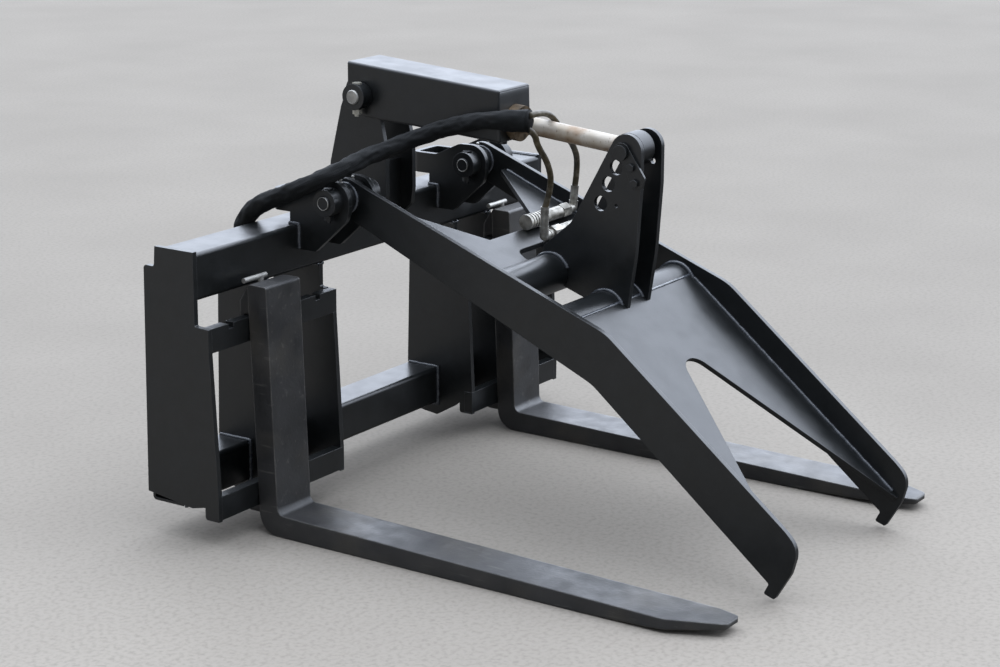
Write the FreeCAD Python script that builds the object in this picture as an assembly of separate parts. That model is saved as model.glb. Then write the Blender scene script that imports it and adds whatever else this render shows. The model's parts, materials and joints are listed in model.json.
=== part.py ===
import math
import os

import FreeCAD
import Part

# Pallet fork grapple for a loader: a fork carriage with two sliding forks and a hydraulic top grapple.
# Millimetres. X runs across the carriage, Y points from the forks back to the machine, Z is up.
# Sizes are written from the front face of the top tube (Y = 0), the middle of the width (X = 0)
# and the ground (Z = 0). The finished pieces are moved along Y so that the origin is the middle
# of the footprint.

V = FreeCAD.Vector

# Carriage
FRAME_WIDTH = 1304.0
PLATE = 12.0
TOP_TUBE = 100.0
TOP_TUBE_Z = 521.0
TOP_TUBE_WALL = 6.0
TUBE_CORNER = 9.0
LOW_TUBE_SIZE = 90.0
LOW_TUBE_Y = 48.0
LOW_TUBE_Z = 70.0
LOW_TUBE_WALL = 6.0
PLATE_REAR = 140.0
LEFT_INNER_X = 226.0
RIGHT_INNER_X = 276.0
MIDDLE_X = 414.0
END_CAP = 4.0

# Fork rails, class 2: 407 mm over the rails
RAIL_SPAN = 407.0
RAIL_TOP_Z = 468.0
RAIL_THICK = 22.0
RAIL_HEIGHT = 51.0
UPPER_RAIL_Y = -36.0
LOWER_RAIL_Y = -52.0
NOTCH_WIDTH = 16.0
NOTCH_DEPTH = 11.0
LEFT_NOTCHES = (-580.0, -468.0, -380.0, -292.0)
RIGHT_NOTCHES = (350.0, 438.0, 580.0)

# Forks
FORK_WIDTH = 112.0
FORK_REACH = 1145.0
FORK_GAP = 1.0
LEFT_FORK_X = -468.0
RIGHT_FORK_X = 438.0
FORK_TOP_Z = 538.0
BLADE_HEEL = 48.0
BLADE_MID = 33.0
BLADE_TIP = 12.0
SHANK_THICK = 48.0
HOOK_WIDTH = 84.0
HOOK_GAP = 2.0
HOOK_PLATE = 16.0
HOOK_LIP = 10.0
LOCK_R = 6.5
LOCK_FIT = 0.08
LOCK_LIFT = 1.0
LOCK_HANDLE_R = 5.5

# Hinge between carriage and grapple
HINGE_Y = -92.0
HINGE_Z = 683.0
PIN_R = 16.0
PIN_FIT = 0.06
LOBE_R = 42.0
BRACKET_INNER = 208.0
BRACKET_OUTER = 307.0
COLLAR_R = 29.0
COLLAR_LENGTH = 31.0
COLLAR_SEAT = 22.5
PIN_PROUD = 4.0
PIN_CHAMFER = 2.0
SIDE_GAP = 1.0
BOSS_R = 31.0

# Grapple
ARM_REACH = 1180.0
ARM_BEND_Y = -740.0
ARM_BEND_Z = 484.0
NOSE_BACK = 25.0
NOSE_Z = 150.0
FRONT_WEB_Y = -918.0
FRONT_WEB_DROP = 72.7
WEB_END_BACK = 20.0
REAR_TUBE_Y = -475.0
REAR_TUBE_Z = 530.0
FRONT_TUBE_Y = -612.0
FRONT_TUBE_Z = 469.0
CROSS_TUBE_R = 42.0
CROSS_TUBE_WALL = 5.0
WEB = 10.0
SEAM_GAP = 0.3
THROAT_R = 42.0
REAR_WEB_SLOPE = 0.40
REAR_WEB_Y = -326.0
REAR_WEB_Z = 597.0
LUG_INNER = 36.0
LUG_LOBE_R = 36.0
ADJUST_R = 16.0

# Cylinder
BASE_Y = 14.0
BASE_Z = 865.0
ROD_PIN_Y = -645.0
ROD_PIN_Z = 809.0
BARREL_R = 36.0
BORE_R = 31.0
BARREL_LENGTH = 360.0
GLAND_R = 38.5
GLAND_LENGTH = 24.0
ROD_R = 19.0
ROD_FIT = 0.08
EYE_R = 32.0
EYE_WIDTH = 56.0
ROD_EYE_R = 36.0
ROD_EYE_WIDTH = 44.0
ROD_EYE_SLACK = 9.5
PISTON_LENGTH = 30.0
SPACER_R = 24.0
SPACER_FIT = 0.3
SPACER_GAP = 1.0
LEG_INNER = 44.0
GUARD_SHEET = 4.0
GUARD_GAP = 1.5
GUARD_RISE = 72.0
GUARD_TOP = BASE_Z + GUARD_RISE

# Fasteners
BOLT_R = 6.0
BOLT_HEAD_AF = 18.0
BOLT_HEAD = 8.0
HEAD_ROOM = 1.2
NUT_HEIGHT = 10.0
NIPPLE_R = 4.0
NIPPLE_HEIGHT = 14.0

# Hoses
HOSE_R = 6.8
SLEEVE_R = 19.0
COUPLER_R = 17.0
COUPLER_AF = 29.0
COUPLER_GAP = 0.3
COUPLER_A_X = 34.0
COUPLER_A_Y = -356.0
COUPLER_B_Y = -409.0
RIB_LENGTH = 58.0
TAIL_LENGTH = 20.0
ELBOW_A_X = 228.0
ELBOW_B_X = 26.0
ELBOW_REACH = 16.0
ELBOW_R = 10.0
FERRULE_R = 9.0
FERRULE_GAP = 0.9

HALF = FRAME_WIDTH / 2
TOP_TUBE_TOP = TOP_TUBE_Z + TOP_TUBE
FRAME_SHIFT = (ARM_REACH - PLATE_REAR) / 2
BRACKET_MID = (BRACKET_INNER + BRACKET_OUTER) / 2
ARM_INNER = BRACKET_MID - PLATE / 2
ARM_OUTER = BRACKET_MID + PLATE / 2
LOWER_RAIL_Z = RAIL_TOP_Z - RAIL_SPAN
UPPER_RAIL_Z = RAIL_TOP_Z - RAIL_HEIGHT
BASE_PIN = V(0, BASE_Y, BASE_Z)
ROD_PIN = V(0, ROD_PIN_Y, ROD_PIN_Z)
STROKE_AXIS = (ROD_PIN - BASE_PIN).normalize()
PIN_CENTRES = (ROD_PIN - BASE_PIN).Length
LEG_OUTER = LEG_INNER + PLATE
GUARD_INNER = LEG_OUTER + GUARD_GAP
GUARD_OUTER = GUARD_INNER + GUARD_SHEET
LUG_OUTER = LUG_INNER + PLATE
FRONT_WEB_SLOPE = (ARM_BEND_Z - NOSE_Z) / (ARM_REACH - NOSE_BACK + ARM_BEND_Y)
FRONT_WEB_Z = ARM_BEND_Z + FRONT_WEB_SLOPE * (FRONT_WEB_Y - ARM_BEND_Y) - FRONT_WEB_DROP
COUPLER_SEAT = (COUPLER_R + COUPLER_GAP) * math.hypot(1, REAR_WEB_SLOPE)
COUPLER_LENGTH = ELBOW_A_X - ELBOW_REACH - COUPLER_A_X


def rounded(points, place):
    """A face from corner points (a, b) or (a, b, radius); place turns (a, b) into a point in space."""
    corners = [(FreeCAD.Vector(p[0], p[1], 0), p[2] if len(p) > 2 else 0.0) for p in points]
    edges = []
    pairs = []
    for i, (here, radius) in enumerate(corners):
        before = (corners[i - 1][0] - here).normalize()
        after = (corners[(i + 1) % len(corners)][0] - here).normalize()
        if radius == 0:
            pairs.append((here, None, here))
            continue
        half = before.getAngle(after) / 2
        reach = radius / math.tan(half)
        middle = here + (before + after).normalize() * (radius / math.sin(half) - radius)
        pairs.append((here + before * reach, middle, here + after * reach))

    def lift(v):
        return place(v.x, v.y)

    for i, (start, middle, end) in enumerate(pairs):
        if middle is not None:
            edges.append(Part.Arc(lift(start), lift(middle), lift(end)).toShape())
        following = pairs[(i + 1) % len(pairs)][0]
        if end.distanceToPoint(following) > 1e-6:
            edges.append(Part.LineSegment(lift(end), lift(following)).toShape())
    return Part.Face(Part.Wire(edges))


def plate_x(points, x0, x1):
    """A plate across X with its outline given as (Y, Z)."""
    return rounded(points, lambda y, z: V(x0, y, z)).extrude(V(x1 - x0, 0, 0))


def plate_z(points, z0, z1):
    """A flat plate with its outline given as (X, Y)."""
    return rounded(points, lambda x, y: V(x, y, z0)).extrude(V(0, 0, z1 - z0))


def block(x0, x1, y0, y1, z0, z1):
    return Part.makeBox(x1 - x0, y1 - y0, z1 - z0, V(x0, y0, z0))


def rod_x(radius, y, z, x0, x1):
    return Part.makeCylinder(radius, x1 - x0, V(x0, y, z), V(1, 0, 0))


def ring_x(outer, inner, y, z, x0, x1):
    return rod_x(outer, y, z, x0, x1).cut(rod_x(inner, y, z, x0 - 1, x1 + 1))


def hexagon(across_flats, centre, axis, height):
    side = across_flats / math.sqrt(3)
    points = [V(side * math.cos(i * math.pi / 3), side * math.sin(i * math.pi / 3), 0) for i in range(7)]
    prism = Part.Face(Part.makePolygon(points)).extrude(V(0, 0, height))
    prism.Placement = FreeCAD.Placement(centre, FreeCAD.Rotation(V(0, 0, 1), axis))
    return prism


def mirror_x(shape):
    return shape.mirror(V(0, 0, 0), V(1, 0, 0))


def joined(shapes):
    return shapes[0].fuse(shapes[1:]).removeSplitter() if len(shapes) > 1 else shapes[0]


def square_tube(size, wall, y, z, x0, x1):
    def section(grow, corner):
        return [(y + grow, z + grow, corner), (y + size - grow, z + grow, corner),
                (y + size - grow, z + size - grow, corner), (y + grow, z + size - grow, corner)]
    inner_corner = max(TUBE_CORNER - wall, 1.0)
    return plate_x(section(0, TUBE_CORNER), x0, x1).cut(plate_x(section(wall, inner_corner), x0 - 1, x1 + 1))


# Tubes of the carriage

def top_tube():
    reach = HALF - PLATE
    return square_tube(TOP_TUBE, TOP_TUBE_WALL, 0, TOP_TUBE_Z, -reach, reach)


def lower_tube():
    reach = HALF - PLATE
    return square_tube(LOW_TUBE_SIZE, LOW_TUBE_WALL, LOW_TUBE_Y, LOW_TUBE_Z, -reach, reach)


# Plates of the carriage

def front_profile():
    """Front edge from the lower tab up to the step above the upper rail, which lies flush in it."""
    tab_z = LOWER_RAIL_Z - 3
    tab_rear = LOWER_RAIL_Y + RAIL_THICK + 14
    return [(tab_rear, tab_z + 26), (tab_rear, tab_z, 7), (LOWER_RAIL_Y, tab_z),
            (LOWER_RAIL_Y, LOWER_RAIL_Z + RAIL_HEIGHT), (UPPER_RAIL_Y, UPPER_RAIL_Z),
            (UPPER_RAIL_Y, RAIL_TOP_Z)]


def rail_cuts(x0, x1):
    """Seats of both rails in a plate, and the ways behind them for the fork hooks."""
    upper = block(x0 - 1, x1 + 1, UPPER_RAIL_Y - 1, UPPER_RAIL_Y + RAIL_THICK, UPPER_RAIL_Z, RAIL_TOP_Z + 4)
    lower = block(x0 - 1, x1 + 1, LOWER_RAIL_Y - 1, LOWER_RAIL_Y + RAIL_THICK, LOWER_RAIL_Z,
                  LOWER_RAIL_Z + RAIL_HEIGHT)
    return [upper, lower]


def hook_way(x0, x1):
    rear = UPPER_RAIL_Y + RAIL_THICK
    return block(x0 - 1, x1 + 1, rear - 0.01, rear + HOOK_LIP + 3 * HOOK_GAP, RAIL_TOP_Z - 30, RAIL_TOP_Z + 4)


def end_plate():
    top = TOP_TUBE_TOP + 4
    outline = front_profile() + [(0, RAIL_TOP_Z + 2, 4), (0, top), (TOP_TUBE + 2, top), (105, 582, 6), (133, 583, 8),
                                 (PLATE_REAR, 92), (19, 76)]
    plate = plate_x(outline, HALF - PLATE, HALF)
    return plate


def rib(x0, with_hook_way):
    """A carriage rib under the top tube; the lower tube lies in a slot open to the rear."""
    x1 = x0 + PLATE
    outline = front_profile() + [(0, RAIL_TOP_Z + 2, 4), (0, TOP_TUBE_Z), (128, TOP_TUBE_Z),
                                 (136, LOW_TUBE_Z + LOW_TUBE_SIZE), (136, LOW_TUBE_Z - 16, 6), (88, 46, 20),
                                 (50, 41, 12), (8, 86) if with_hook_way else (2, 69)]
    plate = plate_x(outline, x0, x1)
    slot = block(x0 - 1, x1 + 1, LOW_TUBE_Y, 150, LOW_TUBE_Z, LOW_TUBE_Z + LOW_TUBE_SIZE)
    corner = TUBE_CORNER - 1
    slot = slot.makeFillet(corner, [e for e in slot.Edges
                                    if abs(e.CenterOfMass.y - LOW_TUBE_Y) < 0.1
                                    and abs(e.CenterOfMass.x - (x0 + x1) / 2) < 0.1])
    cuts = [slot] + rail_cuts(x0, x1)
    if with_hook_way:
        cuts.append(hook_way(x0, x1))
    return plate.cut(cuts)


# Rails

def upper_rail(x0, x1, notches):
    rail = block(x0, x1, UPPER_RAIL_Y, UPPER_RAIL_Y + RAIL_THICK, UPPER_RAIL_Z, RAIL_TOP_Z)
    return rail.cut([block(x - NOTCH_WIDTH / 2, x + NOTCH_WIDTH / 2, UPPER_RAIL_Y - 1,
                           UPPER_RAIL_Y + RAIL_THICK + 1, RAIL_TOP_Z - NOTCH_DEPTH, RAIL_TOP_Z + 1)
                     for x in notches])


def lower_rail(x0, x1):
    return block(x0, x1, LOWER_RAIL_Y, LOWER_RAIL_Y + RAIL_THICK, LOWER_RAIL_Z, LOWER_RAIL_Z + RAIL_HEIGHT)


# Forks

def shank_rear(z):
    """The shank leans back: its rear face clears both rails by the fork gap."""
    upper_z = UPPER_RAIL_Z + RAIL_HEIGHT / 2
    lower_z = LOWER_RAIL_Z + RAIL_HEIGHT / 2
    lean = (UPPER_RAIL_Y - LOWER_RAIL_Y) / (upper_z - lower_z)
    return UPPER_RAIL_Y - 2 * FORK_GAP + lean * (z - upper_z)


def fork(x, tip_side):
    """One forged fork; tip_side is the side of the longer corner cut at the tip."""
    x0 = x - FORK_WIDTH / 2
    top_rear = shank_rear(FORK_TOP_Z)
    heel_rear = shank_rear(0)
    profile = [(top_rear, FORK_TOP_Z, 8), (heel_rear, 0, 46), (-852, 0, 200), (-1000, 5, 200), (-FORK_REACH, 15, 4),
               (-FORK_REACH, 15 + BLADE_TIP, 4), (-850, BLADE_MID, 600), (-150, BLADE_HEEL - 1, 80),
               (shank_rear(BLADE_HEEL) - SHANK_THICK, BLADE_HEEL, 16), (top_rear - SHANK_THICK - 2, FORK_TOP_Z, 6)]
    body = plate_x(profile, x0, x0 + FORK_WIDTH)
    half = FORK_WIDTH / 2
    plan = [(x - half, 0), (x + half, 0), (x + half, -1097, 14), (x + 44, -FORK_REACH, 10),
            (x - 8, -FORK_REACH, 16), (x - half, -1035, 30)]
    if tip_side > 0:
        plan = [(2 * x - p[0],) + p[1:] for p in plan]
    return body.common(plate_z(plan, -1, FORK_TOP_Z + 1))


def upper_hook(x):
    """Hook on the shank's rear face that hangs the fork over the upper rail, with a bore for the lock pin."""
    rear = UPPER_RAIL_Y + RAIL_THICK + HOOK_GAP
    low = RAIL_TOP_Z + HOOK_GAP
    outline = [(shank_rear(low), low), (shank_rear(FORK_TOP_Z - 12), FORK_TOP_Z - 12), (rear - 8, FORK_TOP_Z - 12, 6),
               (rear + HOOK_LIP, low + 26, 8), (rear + HOOK_LIP, RAIL_TOP_Z - 24, 4),
               (rear, RAIL_TOP_Z - 24, 3), (rear, low)]
    hook = plate_x(outline, x - HOOK_WIDTH / 2, x + HOOK_WIDTH / 2)
    lock_y = UPPER_RAIL_Y + RAIL_THICK / 2
    bore = Part.makeCylinder(LOCK_R + LOCK_FIT, 200, V(x, lock_y, RAIL_TOP_Z - 50))
    return hook.cut(bore)


def lower_hook(x):
    """Hook under and behind the lower rail."""
    rear = LOWER_RAIL_Y + RAIL_THICK + 14 + HOOK_GAP
    low = LOWER_RAIL_Z - 3 - HOOK_GAP
    foot = low - HOOK_PLATE
    outline = [(shank_rear(low), low), (rear, low), (rear, LOWER_RAIL_Z + 14, 2),
               (rear + 10, LOWER_RAIL_Z + 14, 4), (rear + 10, foot + 8, 6), (rear - 6, foot, 6),
               (shank_rear(foot), foot)]
    return plate_x(outline, x - HOOK_WIDTH / 2, x + HOOK_WIDTH / 2)


def lock_pin(x):
    """Drop pin with a cross handle, shown lifted out of its notch."""
    lock_y = UPPER_RAIL_Y + RAIL_THICK / 2
    top = FORK_TOP_Z + 6
    foot = RAIL_TOP_Z + LOCK_LIFT
    pin = Part.makeCylinder(LOCK_R, top - foot, V(x, lock_y, foot))
    handle = rod_x(LOCK_HANDLE_R, lock_y, top, x - 56, x + 16)
    return joined([pin, handle])


# Hinge brackets

def bracket():
    """A U bent from one plate: two lugs for the hinge pin, joined behind over the top tube."""
    lug_outline = [(HINGE_Y - 42, 675), (-133, 659, 20), (-125, 640, 20), (-44, 567, 10), (0, 567),
                   (0, TOP_TUBE_TOP), (24, TOP_TUBE_TOP), (24, 646), (32, 646), (32, 693), (6, 693, 30),
                   (-60, 724, 30), (HINGE_Y, HINGE_Z + 42), (HINGE_Y - 30, HINGE_Z + 20)]
    pieces = []
    for x0 in (BRACKET_INNER, BRACKET_OUTER - PLATE):
        lug = plate_x(lug_outline, x0, x0 + PLATE)
        lug = joined([lug, rod_x(LOBE_R, HINGE_Y, HINGE_Z, x0, x0 + PLATE)])
        pieces.append(lug)
    bend = plate_z([(BRACKET_INNER, 20), (BRACKET_INNER, 74, 20), (BRACKET_OUTER, 74, 20), (BRACKET_OUTER, 20),
                    (BRACKET_OUTER - PLATE, 20), (BRACKET_OUTER - PLATE, 74 - PLATE, 8),
                    (BRACKET_INNER + PLATE, 74 - PLATE, 8), (BRACKET_INNER + PLATE, 20)], 646, 693)
    whole = joined(pieces + [bend])
    return whole.cut(rod_x(PIN_R + PIN_FIT, HINGE_Y, HINGE_Z, BRACKET_INNER - 1, BRACKET_OUTER + 1))


def chamfered_pin(y, z, x0, x1):
    pin = rod_x(PIN_R, y, z, x0, x1)
    return pin.makeChamfer(PIN_CHAMFER, [e for e in pin.Edges if isinstance(e.Curve, Part.Circle)])


def hinge_pin():
    reach = COLLAR_LENGTH + PIN_PROUD
    return chamfered_pin(HINGE_Y, HINGE_Z, BRACKET_INNER - reach, BRACKET_OUTER + reach).cut(
        [cross_bore(x, HINGE_Y, HINGE_Z) for x in hinge_bolt_places()])


def hinge_bolt_places():
    return (BRACKET_INNER - COLLAR_LENGTH / 2, BRACKET_OUTER + COLLAR_LENGTH / 2)


def base_bolt_places():
    return (-GUARD_OUTER - GUARD_GAP - COLLAR_LENGTH / 2, GUARD_OUTER + GUARD_GAP + COLLAR_LENGTH / 2)


def cross_bore(x, y, z):
    return Part.makeCylinder(BOLT_R + 0.3, 2 * COLLAR_R + 20, V(x, y, z - COLLAR_R - 10))


def collar(x_middle, y, z):
    """Collar on a pin's end with a cross bore; the bolt's head lies in a round recess."""
    ring = ring_x(COLLAR_R, PIN_R + 0.3, y, z, x_middle - COLLAR_LENGTH / 2, x_middle + COLLAR_LENGTH / 2)
    recess = Part.makeCylinder(BOLT_HEAD_AF / math.sqrt(3) + HEAD_ROOM, COLLAR_R, V(x_middle, y, z + COLLAR_SEAT))
    return ring.cut([cross_bore(x_middle, y, z), recess])


def cross_bolt(x, y, z):
    seat = z + COLLAR_SEAT + 0.1
    foot = z - COLLAR_R - NUT_HEIGHT - 5
    shank = Part.makeCylinder(BOLT_R, seat - foot, V(x, y, foot))
    head = hexagon(BOLT_HEAD_AF, V(x, y, seat), V(0, 0, 1), BOLT_HEAD)
    return joined([shank, head])


def cross_nut(x, y, z):
    nut = hexagon(BOLT_HEAD_AF, V(x, y, z - COLLAR_R - 0.1), V(0, 0, -1), NUT_HEIGHT)
    return nut.cut(Part.makeCylinder(BOLT_R + 0.05, 60, V(x, y, z - 80)))


def bolt_places():
    places = [(x, BASE_Y, BASE_Z) for x in base_bolt_places()]
    for side in (-1, 1):
        places += [(side * x, HINGE_Y, HINGE_Z) for x in hinge_bolt_places()]
    return places


# Tower for the cylinder

def tower_leg():
    outline = [(BASE_Y + 50, BASE_Z), (76, 834, 40), (108, 702, 40), (98, TOP_TUBE_TOP), (0, TOP_TUBE_TOP), (0, 590),
               (-20, 590, 14), (-42, 612, 10), (-47, 649, 30), (-46, 749, 60), (-32, 811, 30), (BASE_Y - 50, BASE_Z)]
    leg = joined([plate_x(outline, LEG_INNER, LEG_OUTER), rod_x(50, BASE_Y, BASE_Z, LEG_INNER, LEG_OUTER)])
    return leg.cut(rod_x(PIN_R + PIN_FIT, BASE_Y, BASE_Z, LEG_INNER - 1, LEG_OUTER + 1))


def tower_cross_plate():
    return block(-LEG_INNER, LEG_INNER, -PLATE, 0, 590, 712)


def base_pin():
    reach = GUARD_OUTER + GUARD_GAP + COLLAR_LENGTH + PIN_PROUD
    return chamfered_pin(BASE_Y, BASE_Z, -reach, reach).cut(
        [cross_bore(x, BASE_Y, BASE_Z) for x in base_bolt_places()])


# Grapple arms

def arm():
    """Side plate of the grapple: straight from the hinge, bent down, with a rounded nose and one tooth."""
    tooth = -ARM_REACH + 43
    outline = [(-107, 722.3), (ARM_BEND_Y, ARM_BEND_Z, 120), (-ARM_REACH + NOSE_BACK, NOSE_Z, 150),
               (-ARM_REACH, NOSE_Z - 25, 45), (-ARM_REACH, NOSE_Z - 50, 40), (-ARM_REACH + 9, NOSE_Z - 85, 40),
               (tooth, 6, 5), (tooth + 24, 14, 4), (tooth + 13, 36, 5), (ARM_BEND_Y + 29, ARM_BEND_Z - 110, 110),
               (-76, 650.6), (HINGE_Y + 10, HINGE_Z)]
    plate = plate_x(outline, ARM_INNER, ARM_OUTER)
    plate = joined([plate, rod_x(LOBE_R, HINGE_Y, HINGE_Z, ARM_INNER, ARM_OUTER)])
    bore = rod_x(PIN_R + PIN_FIT, HINGE_Y, HINGE_Z, ARM_INNER - 1, ARM_OUTER + 1)
    return plate.cut(bore)


def arm_bosses():
    """Bosses that fill the hinge bracket on both sides of each arm."""
    bosses = []
    spans = ((BRACKET_INNER + PLATE + SIDE_GAP, ARM_INNER), (ARM_OUTER, BRACKET_OUTER - PLATE - SIDE_GAP))
    for x0, x1 in spans:
        boss = ring_x(BOSS_R, PIN_R + PIN_FIT, HINGE_Y, HINGE_Z, x0, x1)
        middle = (x0 + x1) / 2
        boss = boss.cut(Part.makeCylinder(NIPPLE_R - 1, BOSS_R + 5, V(middle, HINGE_Y, HINGE_Z)))
        bosses.append(boss)
    return Part.makeCompound(bosses + [mirror_x(b) for b in bosses])


def grease_nipples():
    nipples = []
    half_width = (ARM_INNER - BRACKET_INNER - PLATE - SIDE_GAP) / 2
    for middle in (ARM_INNER - half_width, ARM_OUTER + half_width):
        foot = HINGE_Z + BOSS_R
        hexpart = hexagon(8, V(middle, HINGE_Y, foot), V(0, 0, 1), 5)
        stem = Part.makeCylinder(NIPPLE_R / 2, NIPPLE_HEIGHT, V(middle, HINGE_Y, foot - 4))
        ball = Part.makeSphere(3.2, V(middle, HINGE_Y, foot + NIPPLE_HEIGHT - 4))
        nipples.append(joined([hexpart, stem, ball]))
    return Part.makeCompound(nipples + [mirror_x(n) for n in nipples])


def cross_tube(y, z):
    return ring_x(CROSS_TUBE_R, CROSS_TUBE_R - CROSS_TUBE_WALL, y, z, -ARM_INNER, ARM_INNER)


def sloped_plate(points, y0, z0, slope, thickness):
    """A plate whose outline (X, Y) is drawn in plan and lies on a plane that falls towards the front."""
    length = math.hypot(1, slope)
    flat = [(p[0], (p[1] - y0) * length) + tuple(p[2:]) for p in points]
    face = rounded(flat, lambda x, s: V(x, y0 + s / length, z0 + slope * s / length))
    normal = V(0, -slope / length, 1 / length)
    solid = face.extrude(normal * thickness)
    solid.translate(normal * (-thickness / 2))
    return solid


def rear_web():
    front = REAR_TUBE_Y
    outline = [(-ARM_INNER, -155), (-ARM_INNER, front), (ARM_INNER, front), (ARM_INNER, -155), (ARM_INNER - 14, -155),
               (95, -347), (-95, -347), (-ARM_INNER + 14, -155)]
    plate = sloped_plate(outline, REAR_WEB_Y, REAR_WEB_Z, REAR_WEB_SLOPE, WEB)
    tube = rod_x(CROSS_TUBE_R + SEAM_GAP, REAR_TUBE_Y, REAR_TUBE_Z, -ARM_INNER - 1, ARM_INNER + 1)
    hole = plate_z([(-79, -401, 30), (-79, front), (38, front), (38, -401, 10)], 400, 800)
    return plate.cut([tube, hole])


def front_web():
    nose = -ARM_REACH + WEB_END_BACK
    root = FRONT_TUBE_Y - 28
    outline = [(-ARM_INNER, root), (-ARM_INNER, nose), (-ARM_INNER + 6, nose), (0, -738, THROAT_R), (ARM_INNER - 6, nose),
               (ARM_INNER, nose), (ARM_INNER, root)]
    plate = sloped_plate(outline, FRONT_WEB_Y, FRONT_WEB_Z, FRONT_WEB_SLOPE, WEB)
    tube = rod_x(CROSS_TUBE_R + SEAM_GAP, FRONT_TUBE_Y, FRONT_TUBE_Z, -ARM_INNER - 1, ARM_INNER + 1)
    near_tube = block(-ARM_INNER - 1, ARM_INNER + 1, FRONT_TUBE_Y, 0, 300, 700)
    return plate.cut([tube, near_tube])


# Clevis for the rod

def web_height(y):
    """Top of the rear web at a place along Y."""
    return REAR_WEB_Z + REAR_WEB_SLOPE * (y - REAR_WEB_Y) + WEB / 2 * math.hypot(1, REAR_WEB_SLOPE)


def front_web_height(y):
    return FRONT_WEB_Z + FRONT_WEB_SLOPE * (y - FRONT_WEB_Y) + WEB / 2 * math.hypot(1, FRONT_WEB_SLOPE)


def clevis_lug(far):
    """Lug between both cross tubes; its toe stands on the front web, and the near one has a small bore more."""
    toe = FRONT_TUBE_Y - 52
    seam = FRONT_TUBE_Y - 34
    lobe_y = ROD_PIN_Y - 8
    lobe_z = ROD_PIN_Z + 2
    outline = [(lobe_y + 0.882 * LUG_LOBE_R, lobe_z + 0.472 * LUG_LOBE_R), (-523, 646, 30), (-456, 588, 10),
               (-448, 556), (REAR_TUBE_Y, REAR_TUBE_Z - 14), (FRONT_TUBE_Y, FRONT_TUBE_Z),
               (seam, front_web_height(seam)), (toe, front_web_height(toe)), (-680, 590, 300), (-689.5, 735, 300),
               (lobe_y - LUG_LOBE_R, lobe_z)]
    plate = plate_x(outline, LUG_INNER, LUG_OUTER)
    plate = joined([plate, rod_x(LUG_LOBE_R, lobe_y, lobe_z, LUG_INNER, LUG_OUTER)])
    cuts = [rod_x(PIN_R + PIN_FIT, ROD_PIN_Y, ROD_PIN_Z, LUG_INNER - 1, LUG_OUTER + 1)]
    for y, z in ((-630, 775), (-612, 738), (-594, 695)):
        cuts.append(rod_x(ADJUST_R, y, z, LUG_INNER - 1, LUG_OUTER + 1))
    if not far:
        cuts.append(rod_x(4, -632, 694, LUG_INNER - 1, LUG_OUTER + 1))
    for y, z in ((REAR_TUBE_Y, REAR_TUBE_Z), (FRONT_TUBE_Y, FRONT_TUBE_Z)):
        cuts.append(rod_x(CROSS_TUBE_R + SEAM_GAP, y, z, LUG_INNER - 1, LUG_OUTER + 1))
    for y, z in flag_bolt_places() if not far else flag_bolt_places()[:1]:
        cuts.append(rod_x(BOLT_R, y, z, LUG_INNER - 1, LUG_OUTER + 1))
    return plate.cut(cuts)


def flag_bolt_places():
    return ((-669, 780), (-679, 748))


def rod_pin():
    head = LUG_OUTER + PLATE / 2
    return joined([rod_x(PIN_R, ROD_PIN_Y, ROD_PIN_Z, -head - 8, head + 8)])


def rod_pin_flag():
    """Flag plate welded to the pin's head and bolted to the lug, so that the pin can't turn."""
    x0 = -LUG_OUTER - 6
    flag = joined([rod_x(20, ROD_PIN_Y, ROD_PIN_Z, x0, -LUG_OUTER),
                   plate_x([(ROD_PIN_Y + 2, ROD_PIN_Z - 19), (ROD_PIN_Y - 18, ROD_PIN_Z + 9, 4), (-702, 760, 9),
                            (-696, 738, 8), (-673, 734, 10), (-655, 775, 12)], x0, -LUG_OUTER)])
    cuts = [rod_x(PIN_R + PIN_FIT, ROD_PIN_Y, ROD_PIN_Z, x0 - 1, 0)]
    cuts += [rod_x(BOLT_R, y, z, x0 - 1, 0) for y, z in flag_bolt_places()]
    return flag.cut(cuts)


def flag_bolts():
    bolts = []
    for y, z in flag_bolt_places():
        head_x = -LUG_OUTER - 6
        shank = rod_x(BOLT_R - 0.3, y, z, head_x, -LUG_INNER)
        head = hexagon(16, V(head_x, y, z), V(-1, 0, 0), 7)
        bolts.append(joined([shank, head]))
    return Part.makeCompound(bolts)


def rod_pin_spacers():
    spacer = ring_x(SPACER_R, PIN_R + SPACER_FIT, ROD_PIN_Y, ROD_PIN_Z, ROD_EYE_WIDTH / 2 + SPACER_GAP, LUG_INNER)
    return Part.makeCompound([spacer, mirror_x(spacer)])


# Cylinder along the line between its pins

def along(distance):
    return BASE_PIN + STROKE_AXIS * distance


def rod_along(radius, start, end):
    return Part.makeCylinder(radius, end - start, along(start), STROKE_AXIS)


def base_eye():
    eye = rod_x(EYE_R, BASE_Y, BASE_Z, -EYE_WIDTH / 2, EYE_WIDTH / 2)
    neck = rod_along(BARREL_R - 6, 10, EYE_R + 8)
    eye = joined([eye, neck])
    return eye.cut(rod_x(PIN_R + PIN_FIT, BASE_Y, BASE_Z, -EYE_WIDTH, EYE_WIDTH))


def barrel():
    start = EYE_R + 8
    outer = rod_along(BARREL_R, start, BARREL_LENGTH)
    return outer.cut(rod_along(BORE_R, start + 10, BARREL_LENGTH + 1))


def gland():
    start = BARREL_LENGTH
    ring = rod_along(GLAND_R, start, start + GLAND_LENGTH)
    return ring.cut(rod_along(ROD_R + ROD_FIT, start - 1, start + GLAND_LENGTH + 1))


def piston():
    end = BARREL_LENGTH - 20
    return rod_along(BORE_R - ROD_FIT, end - PISTON_LENGTH, end)


def cylinder_rod():
    return rod_along(ROD_R, BARREL_LENGTH - 20, PIN_CENTRES - ROD_EYE_R + 2).cut(
        rod_x(ROD_EYE_R, ROD_PIN_Y, ROD_PIN_Z, -60, 60))


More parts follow.
